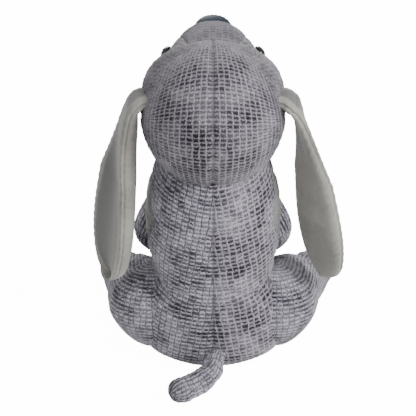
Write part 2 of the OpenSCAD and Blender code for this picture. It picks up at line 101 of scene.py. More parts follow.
# Shapes
body = dict(
    height=164, chestWidth=102, seatWidth=92, depth=100, neckWidth=82, baseWidth=82,
    neckLean=12, thighTop=77, seatSpread=9, seatSquare=0.6, headGap=0.8, neckIn=1.03,
)
head = dict(radius=54, muzzleLength=91, muzzleWidth=79, muzzleDepth=62, muzzleTilt=16, muzzleRound=2.3,
            joinAbove=7, joinBelow=14, browFullness=0.08, brow=120, throat=232, nape=310, muzzleHalf=20,
            earPole=86)
headCentre = jointAt["head_turn"]


def torsoKnots():
    b = body
    rise = b["height"] - b["thighTop"]
    seat, chest, neck, deep, lean = b["seatWidth"], b["chestWidth"], b["neckWidth"], b["depth"], b["neckLean"]
    return [
        [0, [b["baseWidth"] / 2, b["baseWidth"] / 2, 0, 2]],
        [8, [seat * 0.485, deep * 0.47, 0, 2.3]],
        [22, [seat / 2, deep / 2, 0, 2.6]],
        [b["thighTop"], [seat / 2, deep * 0.48, -lean / 4, 2.6]],
        [b["thighTop"] + 0.26 * rise, [chest * 0.495, deep * 0.47, -lean / 2.4, 2.4]],
        [b["thighTop"] + 0.62 * rise, [chest * 0.49, deep * 0.46, -lean / 1.4, 2.2]],
        [b["thighTop"] + 0.87 * rise,
         [between(chest, neck, 0.6) / 2, between(deep * 0.92, neck, 0.6) / 2, -lean * 0.92, 2]],
        [b["height"], [neck / 2, neck / 2, -lean, 2]],
    ]


def torsoPoint(angle, z, inset=0, spreadShare=1):
    k = spline(torsoKnots(), np.clip(z, 0, body["height"]))
    spread = spreadShare * body["seatSpread"] * smooth(2, 14, z) * (1 - smooth(46, 74, z))
    half = np.where(z < body["thighTop"], np.minimum(k[..., 0], body["seatWidth"] / 2), k[..., 0]) + spread
    e = k[..., 3] + body["seatSquare"] * smooth(4, 20, z) * (1 - smooth(46, 74, z))
    r = (
        np.abs(cosd(angle) / (half - inset)) ** e
        + np.abs(sind(angle) / (k[..., 1] - inset)) ** e
    ) ** (-1 / e)
    return stack(r * cosd(angle), k[..., 2] + r * sind(angle), z)


def sideSeam(t):
    return -14 + 38 * sind(180 * np.clip(t, 0, 1) ** 2.4) ** 2


def headWay(a, b):
    return stack(sind(b), cosd(b) * cosd(a), cosd(b) * sind(a))


def headReach(way):
    h = head
    tilt = h["muzzleTilt"]
    ahead = way @ np.array([0, -cosd(tilt), sind(tilt)])
    up = way @ np.array([0, sind(tilt), cosd(tilt)])
    n = h["muzzleRound"]
    muzzle = (
        np.abs(way[..., 0] / (h["muzzleWidth"] / 2)) ** n
        + np.abs(up / (h["muzzleDepth"] / 2)) ** n
        + np.abs(ahead / h["muzzleLength"]) ** n
    ) ** (-1 / n)
    muzzle = np.where(ahead > 0, muzzle, 0)
    browWay = unit(np.array([0.79, -0.35, 0.5]))
    side = stack(np.abs(way[..., 0]), way[..., 1], way[..., 2])
    swell = 1 + h["browFullness"] * np.maximum(0, side @ browWay) ** 16
    join = between(h["joinBelow"], h["joinAbove"], np.clip(way[..., 2] * 2 + 0.3, 0, 1))
    return ((h["radius"] * swell) ** join + muzzle**join) ** (1 / join)


def headPoint(a, b, inset=0):
    way = headWay(a, b)
    return headCentre + way * (headReach(way) - inset)[..., None]


def limbPoint(knots, q, p, inset=0):
    s = np.clip(q, 0, 1)
    cap = np.where(q < 0, 90 * q, np.where(q > 1, 90 * (q - 1), 0))
    k = spline(knots, s)
    along = unit(
        spline(knots, np.clip(s + 0.02, 0, 1))[..., :3] - spline(knots, np.clip(s - 0.02, 0, 1))[..., :3]
    )
    across = unit(np.cross(along, np.cross([1.0, 0, 0], along)))
    up = np.cross(across, along)
    r = k[..., 3] - inset
    c = k[..., :3] + along * (r * sind(cap))[..., None]
    return c + (across * cosd(p)[..., None] + up * sind(p)[..., None]) * (r * cosd(cap))[..., None]


hind = dict(thighRadius=36, footRadius=19, reach=64, hipBack=6, seatKeep=41.5, tuck=9, floorGap=0.4,
            spread={1: 26, -1: 32})


def hindKnots(side):
    h = jointAt["hind_leg_left_lift" if side > 0 else "hind_leg_right_lift"]
    thigh, foot, reach = hind["thighRadius"], hind["footRadius"], hind["reach"]
    low = foot + hind["floorGap"]
    spread = hind["spread"][side] * side
    return [
        [0, [h[0], h[1], h[2], thigh]],
        [0.35, [h[0] + spread * 0.3, h[1] - reach * 0.33, between(h[2], low, 0.25),
        between(thigh, foot, 0.28)]],
        [0.7, [h[0] + spread * 0.72, h[1] - reach * 0.69, between(h[2], low, 0.7),
        between(thigh, foot, 0.78)]],
        [1, [h[0] + spread, h[1] - reach, low, foot]],
    ]


def hindPoint(side, q, p, inset=0):
    v = limbPoint(hindKnots(side), q, p, inset)
    x, y, z = side * v[..., 0], v[..., 1], v[..., 2]
    low = np.maximum(0, 1 - z / (hind["thighRadius"] + hind["floorGap"]))
    near = np.clip((y - hind["hipBack"] + hind["reach"] * 0.6) / (hind["reach"] * 0.6), 0, 1)
    out = np.clip((x - 46.8) / hind["thighRadius"], 0, 1)
    x = np.maximum(x - hind["tuck"] * low * near**2 * out, hind["seatKeep"] + inset)
    return stack(side * x, y, np.maximum(z, hind["floorGap"] + inset))


front = dict(shoulderRadius=13, elbowRadius=18.5, pawRadius=17.5, reach=36, spread=14, floorGap=0.4,
             rootIn=4)


def frontKnots(side):
    s = jointAt["front_leg_left_swing" if side > 0 else "front_leg_right_swing"].copy()
    low = front["pawRadius"] + front["floorGap"]
    paw, elbow, shoulder = front["pawRadius"], front["elbowRadius"], front["shoulderRadius"]
    reach, spread = front["reach"], front["spread"] * side
    inward = unit(np.array([-s[0], -s[1] - 6, 0.0])) * front["rootIn"]
    return [
        [0, [s[0] + inward[0], s[1] + inward[1], s[2], shoulder]],
        [0.28, [s[0] + spread * 0.15, s[1] - reach * 0.18, between(s[2], low, 0.26),
        between(shoulder, elbow, 0.5)]],
        [0.58, [s[0] + spread, s[1] - reach * 0.3, between(s[2], low, 0.62), elbow]],
        [0.8, [s[0] + spread * 0.6, s[1] - reach * 0.68, between(s[2], low, 0.8), between(elbow, paw, 0.5)]],
        [1, [s[0], s[1] - reach, low, paw]],
    ]


tail = dict(radius=10.5, reach=25, sweep=27, rootIn=6)


def tailKnots():
    t, r = jointAt["tail_wag"], tail["radius"]
    return [
        [0, [t[0], t[1] - tail["rootIn"], t[2] + 1, r * 0.58]],
        [0.3, [t[0] + tail["sweep"] * 0.18, t[1] + tail["reach"] * 0.32, r + 4.5, r * 0.82]],
        [0.65, [t[0] + tail["sweep"] * 0.55, t[1] + tail["reach"] * 0.7, r + 2, r]],
        [1, [t[0] + tail["sweep"], t[1] + tail["reach"], r + 0.4, r * 0.98]],
    ]


ear = dict(
    length=148, width=58, thickness=14, rootWidth=30, drift=16, edge=0.5, fullness=5, rootArc=10, rootTurn=35,
    rootShare=0.1, stand={1: 20, -1: 28}, standPower={1: 0.6, -1: 0.55}, turn={1: 24, -1: -30},
    cup={1: 9, -1: 3},
    tipShare=0.07,
)


def earPoint(side, s, face, inset=0):
    e = ear
    pivot = jointAt["ear_left_swing" if side > 0 else "ear_right_swing"]
    t = sind(face)
    outward = np.sign(cosd(face) + 1e-12)
    place = np.maximum(s, 0)
    halfW = spline(
        [[0, 15], [0.2, 17], [0.45, e["width"] * 0.42], [0.7, e["width"] / 2], [0.86, e["width"] * 0.43],
         [0.96, e["width"] * 0.25], [1, e["width"] * 0.12]], place)[..., 0]
    halfT = spline(
        [[0, 4.6], [0.2, e["thickness"] * 0.42], [0.6, e["thickness"] / 2], [0.88, e["thickness"] * 0.46],
         [1, e["thickness"] * 0.36]], place)[..., 0]
    halfW = halfW * between(1, 0.62, smooth(0, e["rootShare"], -s))
    close = np.sqrt(np.clip(1 - (np.maximum(0, s - 1 + e["tipShare"]) / e["tipShare"]) ** 2, 0, 1))
    ease = np.clip(place / 0.4, 0, 1)
    turn = e["turn"][side] * ease
    cup = e["cup"][side] * ease
    stand = e["stand"][side] * (place + 0.001) ** e["standPower"][side]
    tilt = e["rootTurn"] * np.clip(1 - place / 0.15, 0, 1)
    middle = pivot + stack(side * stand, e["drift"] * place, -e["length"] * place)
    # above the root the ear bends over in an arc and goes into the head
    bend = between(e["rootTurn"], 90, np.clip(-s / (e["rootShare"] * 0.7), 0, 1))
    goes = np.maximum(0, -s - e["rootShare"] * 0.7) * e["length"]
    arc = e["rootArc"]
    root = pivot + stack(
        side * (arc * (cosd(bend) - cosd(e["rootTurn"])) - goes * 2), 0 * s,
        arc * (sind(bend) - sind(e["rootTurn"])))
    above = (s < 0)[..., None]
    middle = np.where(above, root, middle)
    lean = np.where(s < 0, bend, tilt)
    way = stack(side * sind(turn), -cosd(turn), 0 * s)
    off = stack(side * cosd(turn) * cosd(lean), sind(turn) * cosd(lean), sind(lean))
    depth = e["edge"] + (halfT * close - e["edge"]) * np.sqrt(np.maximum(0, 1 - np.abs(t) ** e["fullness"]))
    depth = np.maximum(0.2, depth - inset)
    out = outward * depth + cup * (t**2 - 0.35)
    return middle + way * ((halfW * close - inset) * t)[..., None] + off * out[..., None]


# The cloth of each part as a grid round it
headGapRadius = head["radius"] + body["headGap"]
headZ = headCentre[2]


def rimZ(inset=0):
    return headZ - math.sqrt(headGapRadius**2 - (body["neckWidth"] / 2 - inset) ** 2)


def torsoBase(r, c):
    return torsoPoint(360 * c / 60, rimZ() * r / 34)


def headBase(r, c):
    return headPoint(360 * c / 72, 180 * r / 36 - 90)


limbPlaces = {
    "hind": np.concatenate([np.linspace(-1, 0, 11), np.linspace(0, 1, 15)[1:], np.linspace(1, 2, 7)[1:]]),
    "front": np.concatenate([np.linspace(-1, 0, 5), np.linspace(0, 1, 23)[1:], np.linspace(1, 2, 6)[1:]]),
    "tail": np.concatenate([np.linspace(-1, 0, 3), np.linspace(0, 1, 9)[1:], np.linspace(1, 2, 4)[1:]]),
}


def placeOf(kind, r):
    return np.interp(r, np.arange(len(limbPlaces[kind])), limbPlaces[kind])


def rowOf(kind, q):
    return np.interp(q, limbPlaces[kind], np.arange(len(limbPlaces[kind])))


def earPlace(r):
    return between(-ear["rootShare"], 1, r / 30)


tubes = {}


def addTube(name, base, rows, columns, poles, pins):
    r, c = np.meshgrid(np.arange(rows + 1.0), np.arange(float(columns)), indexing="ij")
    tubes[name] = dict(base=base, rows=rows, columns=columns, poles=poles, pins=pins(r, c),
                       cage=base(r, c), delta=np.zeros((rows + 1, columns, 3)))


def torsoPins(r, c):
    t, angle = r / 34, c * 6
    edge = sideSeam(t)
    near = np.minimum(np.abs(angle - 90), np.abs(angle - (180 - edge)))
    near = np.minimum(near, np.abs((angle - edge + 180) % 360 - 180))
    return (near < 3.1) | (r < 1) | (r > 32.5)


def headPins(r, c):
    a, b = c * 5, r * 5 - 90
    seamLines = (np.abs(b) < 1) & ((a <= head["brow"]) | (a >= head["nape"]))
    for line in (head["brow"], head["throat"], head["nape"]):
        seamLines |= np.abs(a - line) < 2.6
    seamLines |= (np.abs(np.abs(b) - head["muzzleHalf"]) < 2) & (a > head["brow"]) & (a < head["throat"])
    return seamLines | (np.abs(b) > 84)


def limbPins(kind, first, second):
    def pins(r, c):
        p = c * 360 / 24
        q = placeOf(kind, r)
        return (np.abs(p - first) < 1) | (np.abs(p - second) < 1) | (np.abs(q - 1.3) < 0.1) | (
            np.abs(q) > 1.98)
    return pins


def earPins(r, c):
    face = c * 10 - 90
    return (np.abs(face + 90) < 1) | (np.abs(face - 90) < 1) | (r < 3.5) | (r > 29)


addTube("torso", torsoBase, 34, 60, False, torsoPins)
addTube("head", headBase, 36, 72, True, headPins)
for sideName, side in (("left", 1), ("right", -1)):
    addTube("hind_" + sideName, lambda r, c, side=side: hindPoint(side, placeOf("hind", r), 15 * c),
            len(limbPlaces["hind"]) - 1, 24, True, limbPins("hind", 90, 270))
    addTube("front_" + sideName,
            lambda r, c, side=side: limbPoint(frontKnots(side), placeOf("front", r), 15 * c),
            len(limbPlaces["front"]) - 1, 24, True, limbPins("front", 90, 270))
    addTube("ear_" + sideName, lambda r, c, side=side: earPoint(side, earPlace(r), 10 * c - 90),
            30, 36, True, earPins)
addTube("tail", lambda r, c: limbPoint(tailKnots(), placeOf("tail", r), 15 * c),
        len(limbPlaces["tail"]) - 1, 24, True, limbPins("tail", 0, 180))


def fanFaces(first, last, columns, start, end):
    faces = []
    for i in range(first, last):
        for j in range(columns):
            a, b = (i - first) * columns + j, (i - first) * columns + (j + 1) % columns
            faces.append((a, b, b + columns, a + columns))
    top = (last - first) * columns
    for j in range(columns):
        k = (j + 1) % columns
        faces.append((start, k, j))
        faces.append((end, top + j, top + k))
    return faces


def simulate():
    print("sewing and stuffing the cloth")
    scene = bpy.context.scene
    made = []
    for name, tube in tubes.items():
        first, last = (1, tube["rows"] - 1) if tube["poles"] else (0, tube["rows"])
        cage = tube["cage"][first:last + 1]
        ends = [tube["cage"][0].mean(0), tube["cage"][-1].mean(0)]
        points = np.concatenate([cage.reshape(-1, 3), ends])
        count = cage.shape[0] * tube["columns"]
        mesh = bpy.data.meshes.new("sewing_" + name)
        mesh.from_pydata((points * mm * clothSettings["scale"]).tolist(), [],
                         fanFaces(first, last, tube["columns"], count, count + 1))
        thing = bpy.data.objects.new("sewing_" + name, mesh)
        scene.collection.objects.link(thing)
        group = thing.vertex_groups.new(name="pin")
        held = np.flatnonzero(tube["pins"][first:last + 1].reshape(-1)).tolist() + [count, count + 1]
        group.add([int(v) for v in held], 1.0, "REPLACE")
        cloth = thing.modifiers.new("Cloth", "CLOTH")
        settings = cloth.settings
        settings.quality = 6
        settings.mass = 0.04
        settings.tension_stiffness = 15
        settings.compression_stiffness = 12
        settings.shear_stiffness = 4
        settings.bending_stiffness = clothSettings["bendStiffness"]
        settings.air_damping = 2
        settings.vertex_group_mass = "pin"
        settings.use_pressure = True
        settings.uniform_pressure_force = clothSettings["pressure"]
        settings.shrink_min = -clothSettings["earLetOut" if name.startswith("ear") else "letOut"]
        settings.effector_weights.gravity = 0
        cloth.point_cache.frame_start = 1
        cloth.point_cache.frame_end = clothSettings["frames"]
        made.append((name, tube, thing, points, first, last))
    for step in range(1, clothSettings["frames"] + 1):
        scene.frame_set(step)
    graph = bpy.context.evaluated_depsgraph_get()
    for name, tube, thing, points, first, last in made:
        shape = thing.evaluated_get(graph).data
        moved = np.empty(len(shape.vertices) * 3)
        shape.vertices.foreach_get("co", moved)
        moved = moved.reshape(-1, 3) / mm / clothSettings["scale"] - points
        size = np.linalg.norm(moved, axis=1, keepdims=True)
        cap = clothSettings["moveCap"]
        moved = moved * (cap * np.tanh(size / cap) / np.maximum(size, 1e-9))
        moved = moved[:-2].reshape(last - first + 1, tube["columns"], 3)
        if name.startswith("ear"):
            for _ in range(3):
                moved = (np.roll(moved, 1, 1) + 2 * moved + np.roll(moved, -1, 1)) / 4
                moved[1:-1] = (moved[:-2] + 2 * moved[1:-1] + moved[2:]) / 4
            moved *= cosd(np.arange(36.0) * 10 - 90)[None, :, None] ** 2
        if name == "head":
            a = np.arange(72.0) * 5
            moved *= between(0.6, 0.22, smooth(95, 125, a) * (1 - smooth(215, 240, a)))[None, :, None]
        tube["delta"][first:last + 1] = moved
        print("  ", name, "moved up to", round(float(size.max()), 2), "mean", round(float(size.mean()), 2),
            "mm")
        bpy.data.objects.remove(thing)
    scene.frame_set(1)


def sampleDelta(tube, r, c):
    grid, columns, rows = tube["delta"], tube["columns"], tube["rows"]
    i, j = np.floor(r).astype(int), np.floor(c).astype(int)
    u, v = r - i, c - j

    def weights(x):
        return [
            -0.5 * x**3 + x**2 - 0.5 * x,
            1.5 * x**3 - 2.5 * x**2 + 1,
            -1.5 * x**3 + 2 * x**2 + 0.5 * x,
            0.5 * x**3 - 0.5 * x**2,
        ]
    total = 0
    for m, wu in enumerate(weights(u)):
        for n, wv in enumerate(weights(v)):
            total = total + grid[np.clip(i + m - 1, 0, rows), (j + n - 1) % columns] * (wu * wv)[..., None]
    return total


def surface(tube, r, c):
    return tube["base"](r, c) + sampleDelta(tube, r, c)


# Materials
def shaderNode(tree, kind, inputs=None, **settings):
    made = tree.nodes.new(kind)
    for name, value in settings.items():
        setattr(made, name, value)
    for key, value in (inputs or {}).items():
        if isinstance(value, bpy.types.NodeSocket):
            tree.links.new(value, made.inputs[key])
        else:
            made.inputs[key].default_value = value
    return made


def maths(tree, operation, *values, clamp=False):
    return shaderNode(tree, "ShaderNodeMath", dict(enumerate(values)), operation=operation,
        use_clamp=clamp).outputs[0]


def step(tree, low, high, value):
    made = shaderNode(tree, "ShaderNodeMapRange", {0: value, 1: low, 2: high, 3: 0.0, 4: 1.0},
                      interpolation_type="SMOOTHSTEP")
    return made.outputs[0]


def mixColour(tree, amount, first, second, blend="MIX"):
    made = shaderNode(tree, "ShaderNodeMix", {0: amount, 6: first, 7: second}, data_type="RGBA",
        blend_type=blend)
    return made.outputs[2]


def rgb(r, g, b):
    def linear(x):
        x = x / 255
        return x / 12.92 if x <= 0.04045 else ((x + 0.055) / 1.055) ** 2.4
    return (linear(r), linear(g), linear(b), 1)


def newGroup(name, inputs, outputs):
    tree = bpy.data.node_groups.new(name, "ShaderNodeTree")
    for label, kind, value in inputs:
        made = tree.interface.new_socket(label, in_out="INPUT", socket_type=kind)
        made.default_value = value
    for label, kind in outputs:
        tree.interface.new_socket(label, in_out="OUTPUT", socket_type=kind)
    return tree, tree.nodes.new("NodeGroupInput"), tree.nodes.new("NodeGroupOutput")


number, colour = "NodeSocketFloat", "NodeSocketColor"


def weaveGroup():
    # A grid of raised cells with a dark dash below each and a thin line between the columns
    tree, entry, out = newGroup(
        "gridWeave",
        [("Wobble", number, 0.22), ("Dash Width", number, 0.74), ("Dash Height", number, 0.46),
         ("Line Width", number, 0.16)],
        [("Dash", number), ("Line", number), ("Cell", number), ("Streak", number), ("Height", number)])
    place = shaderNode(tree, "ShaderNodeUVMap", uv_map="weaveUV").outputs[0]
    wide = shaderNode(tree, "ShaderNodeTexNoise",
        {"Vector": place, "Scale": 0.55, "Detail": 1.0}).outputs["Color"]
    fine = shaderNode(tree, "ShaderNodeTexNoise",
        {"Vector": place, "Scale": 3.1, "Detail": 2.0}).outputs["Color"]
    both = mixColour(tree, 0.45, wide, fine)
    centred = shaderNode(tree, "ShaderNodeVectorMath", {0: both, 1: (0.5, 0.5, 0.5)},
        operation="SUBTRACT").outputs[0]
    strong = maths(tree, "MULTIPLY", entry.outputs["Wobble"], 4.0)
    pushed = shaderNode(tree, "ShaderNodeVectorMath", {0: centred, "Scale": strong},
        operation="SCALE").outputs[0]
    warped = shaderNode(tree, "ShaderNodeVectorMath", {0: place, 1: pushed}, operation="ADD").outputs[0]
    parts = shaderNode(tree, "ShaderNodeSeparateXYZ", {0: warped}).outputs
    across = maths(tree, "ABSOLUTE", maths(tree, "SUBTRACT", maths(tree, "FRACT", parts[0]), 0.5))
    fromRow = maths(tree, "SUBTRACT", 0.5, maths(tree, "ABSOLUTE", maths(
        tree, "SUBTRACT", maths(tree, "FRACT", parts[1]), 0.5)))
    cell = shaderNode(tree, "ShaderNodeVectorMath", {0: warped}, operation="FLOOR").outputs[0]
    chance = shaderNode(tree, "ShaderNodeTexWhiteNoise", {"Vector": cell},
        noise_dimensions="2D").outputs["Value"]
    shifted = shaderNode(tree, "ShaderNodeVectorMath", {0: warped, 1: (0, 0.5, 0)},
        operation="ADD").outputs[0]
    dashCell = shaderNode(tree, "ShaderNodeVectorMath", {0: shifted}, operation="FLOOR").outputs[0]
    dice = shaderNode(tree, "ShaderNodeTexWhiteNoise", {"Vector": dashCell},
        noise_dimensions="2D").outputs["Color"]
    rolls = shaderNode(tree, "ShaderNodeSeparateColor", {0: dice}).outputs
    grainPlace = shaderNode(tree, "ShaderNodeVectorMath", {0: place, 1: (1.0, 0.75, 1.0)},
        operation="MULTIPLY").outputs[0]
    grain = shaderNode(tree, "ShaderNodeTexNoise",
        {"Vector": grainPlace, "Scale": 4.2, "Detail": 2.5}).outputs[0]
    halfHigh = maths(tree, "MULTIPLY_ADD", rolls[0], 0.12,
        maths(tree, "MULTIPLY", entry.outputs["Dash Height"], 0.5))
    halfWide = maths(tree, "MULTIPLY_ADD", rolls[1], 0.12,
        maths(tree, "MULTIPLY", entry.outputs["Dash Width"], 0.5))
    inRow = maths(tree, "SUBTRACT", 1.0, maths(tree, "DIVIDE", fromRow, halfHigh))
    inColumn = maths(tree, "SUBTRACT", 1.0, maths(tree, "DIVIDE", across, halfWide))
    inside = maths(tree, "MINIMUM", inRow, maths(tree, "MULTIPLY", inColumn, 1.6))
    inside = maths(tree, "ADD", inside, maths(tree, "MULTIPLY", maths(tree, "SUBTRACT", grain, 0.5), 3.2))
    inside = maths(tree, "ADD", inside, maths(tree, "MULTIPLY_ADD", rolls[2], 0.7, -0.3))
    dash = step(tree, -0.35, 0.5, inside)
    edge = maths(tree, "SUBTRACT", 0.5, across)
    line = maths(tree, "SUBTRACT", 1.0, step(tree, -0.02, 0.06, maths(
        tree, "SUBTRACT", edge, maths(tree, "MULTIPLY", entry.outputs["Line Width"], 0.5))))
    stretched = shaderNode(tree, "ShaderNodeVectorMath", {0: warped, 1: (3.4, 1.3, 1.0)},
        operation="MULTIPLY").outputs[0]
    streak = shaderNode(tree, "ShaderNodeTexNoise",
        {"Vector": stretched, "Scale": 1.5, "Detail": 3.0}).outputs[0]
    hollow = maths(tree, "MAXIMUM", maths(tree, "MULTIPLY", dash, 0.9), maths(tree, "MULTIPLY", line, 0.55))
    tree.links.new(dash, out.inputs["Dash"])
    tree.links.new(line, out.inputs["Line"])
    tree.links.new(chance, out.inputs["Cell"])
    tree.links.new(step(tree, 0.36, 0.64, streak), out.inputs["Streak"])
    tree.links.new(maths(tree, "SUBTRACT", 1.0, hollow), out.inputs["Height"])
    return tree


def pileGroup():
    # Short pile: fine fibres, and soft patches where the pile lies another way
    tree, entry, out = newGroup(
        "shortPile",
        [("Fibre Scale", number, 1500.0), ("Patch Scale", number, 45.0)],
        [("Fibre", number), ("Patch", number), ("Height", number)])
    place = shaderNode(tree, "ShaderNodeTexCoord").outputs["Object"]
    fibre = shaderNode(tree, "ShaderNodeTexNoise",
                       {"Vector": place, "Scale": entry.outputs["Fibre Scale"], "Detail": 3.0}).outputs[0]
    patch = shaderNode(tree, "ShaderNodeTexNoise",
                       {"Vector": place, "Scale": entry.outputs["Patch Scale"], "Detail": 3.0}).outputs[0]
    tree.links.new(step(tree, 0.3, 0.7, fibre), out.inputs["Fibre"])
    tree.links.new(step(tree, 0.34, 0.66, patch), out.inputs["Patch"])
    tree.links.new(fibre, out.inputs["Height"])
    return tree


gridWeave = weaveGroup()
shortPile = pileGroup()


def newMaterial(name, roughness, sheen=0.0, sheenRoughness=0.5, coat=0.0):
    made = bpy.data.materials.new(name)
    made.use_nodes = True
    tree = made.node_tree
    shader = tree.nodes["Principled BSDF"]
    shader.inputs["Roughness"].default_value = roughness
    shader.inputs["Sheen Weight"].default_value = sheen
    shader.inputs["Sheen Roughness"].default_value = sheenRoughness
    shader.inputs["Coat Weight"].default_value = coat
    shader.inputs["Specular IOR Level"].default_value = 0.2 if sheen else 0.5
    return made, tree, shader


def bump(tree, shader, height, strength, distance):
    made = shaderNode(tree, "ShaderNodeBump", {"Height": height, "Strength": strength, "Distance": distance})
    tree.links.new(made.outputs[0], shader.inputs["Normal"])


def plushMaterial(name, light, shade, dash, line, dashAmount=0.85, lineAmount=0.5, lineWidth=0.16,
        patchAmount=0.5):
    made, tree, shader = newMaterial(name, 0.95, 0.25, 0.4)
    cells = shaderNode(tree, "ShaderNodeGroup", {}, node_tree=gridWeave)
    cells.inputs["Line Width"].default_value = lineWidth
    pile = shaderNode(tree, "ShaderNodeGroup", {}, node_tree=shortPile)
    tone = maths(tree, "ADD", maths(tree, "MULTIPLY", cells.outputs["Cell"], 0.3),
                 maths(tree, "MULTIPLY", pile.outputs["Fibre"], 0.25))
    tone = maths(tree, "ADD", tone, maths(tree, "MULTIPLY", cells.outputs["Streak"], 0.45))
    base = mixColour(tree, tone, shade, light)
    base = mixColour(tree, maths(tree, "MULTIPLY", pile.outputs["Patch"], patchAmount), base, shade)
    weaker = maths(tree, "MULTIPLY", cells.outputs["Dash"], maths(
        tree, "MULTIPLY", dashAmount, maths(tree, "MULTIPLY_ADD", pile.outputs["Patch"], 0.45, 0.55)))
    base = mixColour(tree, weaker, base, dash)
    # the column line's colour is painted light: a dark line is painted shade in the groove, a light one is
    # painted sheen on it
    base = mixColour(tree, maths(tree, "MULTIPLY", cells.outputs["Line"], lineAmount), base, line)
    tree.links.new(base, shader.inputs["Base Color"])
    height = maths(tree, "ADD", maths(tree, "MULTIPLY", cells.outputs["Height"], 0.7),
                   maths(tree, "MULTIPLY", pile.outputs["Height"], 0.6))
    bump(tree, shader, height, 0.7, 0.0009)
    return made


def suedeMaterial(name, light, shade, sheen=0.35, face=None):
    made, tree, shader = newMaterial(name, 0.92, sheen, 0.45)
    pile = shaderNode(tree, "ShaderNodeGroup", {"Fibre Scale": 1100.0, "Patch Scale": 30.0},
        node_tree=shortPile)
    tone = maths(tree, "ADD", maths(tree, "MULTIPLY", pile.outputs["Fibre"], 0.45),
                 maths(tree, "MULTIPLY", pile.outputs["Patch"], 0.55))
    base = mixColour(tree, tone, shade, light)
    if face:
        # painted shade: the face is darkened away from the seams, standing for the shadow on the ear's
        # concave outer face; the map's first number is the distance from the seams
        place = shaderNode(tree, "ShaderNodeUVMap", uv_map="weaveUV").outputs[0]
        far = shaderNode(tree, "ShaderNodeSeparateXYZ", {0: place}).outputs[0]
        far = maths(tree, "MULTIPLY_ADD", pile.outputs["Patch"], 0.5, far)
        base = mixColour(tree, step(tree, 1.5, 2.4, far), base, face)
    tree.links.new(base, shader.inputs["Base Color"])
    bump(tree, shader, pile.outputs["Height"], 0.35, 0.0006)
    return made


def plainMaterial(name, light, shade, roughness, fibreScale=900.0, strength=0.4, coat=0.0, depth=0.0008):
    made, tree, shader = newMaterial(name, roughness, coat=coat)
    pile = shaderNode(tree, "ShaderNodeGroup", {"Fibre Scale": fibreScale, "Patch Scale": 60.0},
        node_tree=shortPile)
    tree.links.new(mixColour(tree, pile.outputs["Fibre"], shade, light), shader.inputs["Base Color"])
    bump(tree, shader, pile.outputs["Height"], strength, depth)
    return made


looks = dict(
    # light column lines on the head, rump and muzzle cloth are painted sheen; the body cloth's dark column
    # lines are painted shade
    head=plushMaterial("headPlush", rgb(180, 175, 184), rgb(88, 83, 93), rgb(28, 24, 32), rgb(180, 174, 181),
                       1.0, 0.5, 0.1),
    body=plushMaterial("bodyPlush", rgb(216, 215, 226), rgb(116, 114, 125), rgb(34, 30, 40), rgb(40, 36, 46),
                       1.0, 0.85, 0.1),
    # a copy of the body cloth for the right back panel, its column lines light as painted sheen where the
    # body's are dark as painted shade
    rump=plushMaterial("rumpPlush", rgb(206, 201, 212), rgb(102, 97, 108), rgb(32, 27, 37),
    rgb(196, 189, 198),
                       1.0, 0.4, 0.1),
    muzzle=plushMaterial("muzzlePlush", rgb(142, 138, 148), rgb(84, 80, 89), rgb(40, 36, 44),
    rgb(120, 114, 122),
                         0.8, 0.3, 0.1),
    suede=suedeMaterial("earSuede", rgb(160, 157, 151), rgb(126, 124, 118)),
    # the ear suede again, with painted shade on the face away from the seams
    suedePaintedShade=suedeMaterial("earSuedePaintedShade", rgb(160, 157, 151), rgb(126, 124, 118), face=rgb(98, 99, 97)),
    belly=suedeMaterial("bellySuede", rgb(136, 136, 135), rgb(108, 108, 107)),
    nose=plainMaterial("noseCloth", rgb(34, 50, 63), rgb(16, 27, 37), 0.55, 700.0),
    thread=plainMaterial("sewingThread", rgb(140, 135, 143), rgb(100, 96, 103), 0.7, 2500.0),
    darkThread=plainMaterial("mouthThread", rgb(30, 44, 56), rgb(16, 26, 36), 0.6, 2500.0),
    filling=plainMaterial("fibreFilling", rgb(244, 242, 236), rgb(216, 213, 205), 0.98, 320.0, 0.8,
    depth=0.002),
    pellets=plainMaterial("pelletCloth", rgb(215, 209, 190), rgb(190, 184, 164), 0.9, 1800.0),
    eyes=plainMaterial("eyePlastic", rgb(14, 11, 11), rgb(9, 7, 7), 0.08, 60.0, 0.0, coat=1.0),
    washers=plainMaterial("washerPlastic", rgb(228, 228, 225), rgb(214, 214, 211), 0.45, 200.0, 0.05),
)


# Pieces
def makeMesh(name, points, faces, uv=None):
    mesh = bpy.data.meshes.new(name)
    mesh.vertices.add(len(points))
    mesh.vertices.foreach_set("co", (np.asarray(points, float) * mm).ravel())
    faces = np.asarray(faces, np.int32)
    mesh.loops.add(faces.size)
    mesh.loops.foreach_set("vertex_index", faces.ravel())
    mesh.polygons.add(len(faces))
    mesh.polygons.foreach_set("loop_start", np.arange(len(faces)) * faces.shape[1])
    mesh.polygons.foreach_set("use_smooth", np.ones(len(faces), bool))
    mesh.update(calc_edges=True)
    if uv is not None:
        layer = mesh.uv_layers.new(name="weaveUV")
        layer.data.foreach_set("uv", np.asarray(uv, float)[faces.ravel()].ravel())
    mesh.validate()
    made = bpy.data.objects.new(name, mesh)
    bpy.context.scene.collection.objects.link(made)
    return made


def gridFaces(rows, columns, flip):
    i, j = np.meshgrid(np.arange(rows - 1), np.arange(columns - 1), indexing="ij")
    a = (i * columns + j).ravel()
    faces = np.stack([a, a + 1, a + columns + 1, a + columns], 1)
    return faces[:, ::-1] if flip else faces


def place(made, bodyName, look, node=None, pad=None):
    made.data.materials.clear()
    made.data.materials.append(looks[look])
    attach(made, bodyName)
    if node:
        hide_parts(*([node] if isinstance(node, str) else node))
    return made


def gridNormals(points, outward):
    down = np.gradient(points, axis=0)
    over = np.gradient(points, axis=1)
    normal = unit(np.cross(over, down))
    middle = tuple(n // 2 for n in points.shape[:2])
    flip = (normal[middle] @ outward(points[middle])) < 0
    return (-normal if flip else normal), flip


